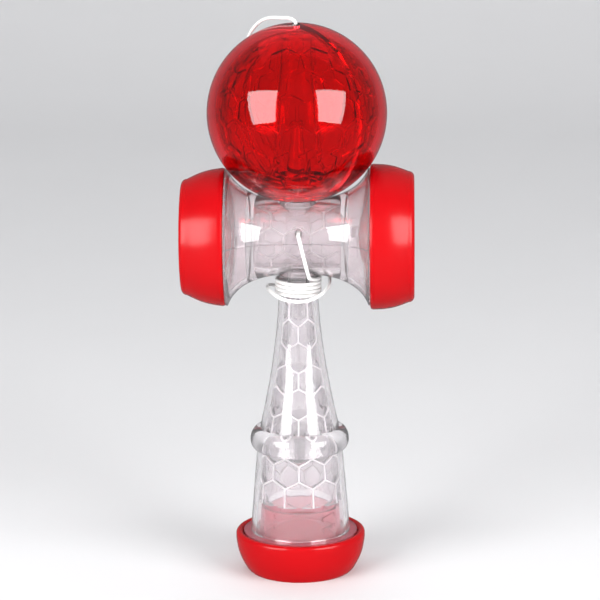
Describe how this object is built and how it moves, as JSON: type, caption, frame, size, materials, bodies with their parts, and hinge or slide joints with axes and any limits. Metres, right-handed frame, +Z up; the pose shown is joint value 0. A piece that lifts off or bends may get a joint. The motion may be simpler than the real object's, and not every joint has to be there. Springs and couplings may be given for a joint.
{
  "type": "kendama",
  "caption": "Clear plastic kendama: net-patterned hollow handle, saddle crosspiece with soft red cups, see-through red ball on its spike and a white cord.",
  "frame": {"origin": "middle of the base cup's ring, on the surface that the kendama stands on", "axes": "+Z up along the handle to the ball, +X towards the big cup, -Y towards the front with the string hole"},
  "size_m": [0.078, 0.0604, 0.1903],
  "materials": {
    "clear_plastic": "clear, polished, moulded",
    "clear_net": "clear, with moulded six-sided cells",
    "screw_steel": "dark plated steel",
    "soft_red": "soft-touch, satin",
    "cord_white": "fine braided cord",
    "bead_white": "moulded bead",
    "clear_red": "see-through red, polished",
    "red_net": "see-through red, with moulded six-sided cells"
  },
  "bodies": {
    "ken": {"handle": "clear_plastic", "handle_core": "clear_net", "tie_screw": "screw_steel", "spike": "clear_plastic", "crosspiece_upper": "clear_plastic", "crosspiece_lower": "clear_plastic", "crosspiece_core": "clear_net", "big_cup": "soft_red", "small_cup": "soft_red", "base_plug": "clear_plastic", "base_cup": "soft_red", "cord_knot": "cord_white", "cord_tail": "cord_white", "cord_winding": "cord_white", "cord_rise": "cord_white"},
    "bead": {"cord_bead": "bead_white", "cord_top": "cord_white"},
    "ball": {"ball_left": "clear_red", "ball_right": "clear_red", "ball_bore": "clear_red", "ball_core_left": "red_net", "ball_core_right": "red_net"}
  },
  "joints": [
    {"name": "ball_lift", "type": "slide", "parent": "ken", "child": "bead", "axis": [0, 0, 1], "range_m": [0, 0.032]},
    {"name": "ball_spin", "type": "hinge", "parent": "bead", "child": "ball", "pos_m": [0, 0, 0.1581], "axis": [0, 0, 1], "continuous": true}
  ]
}
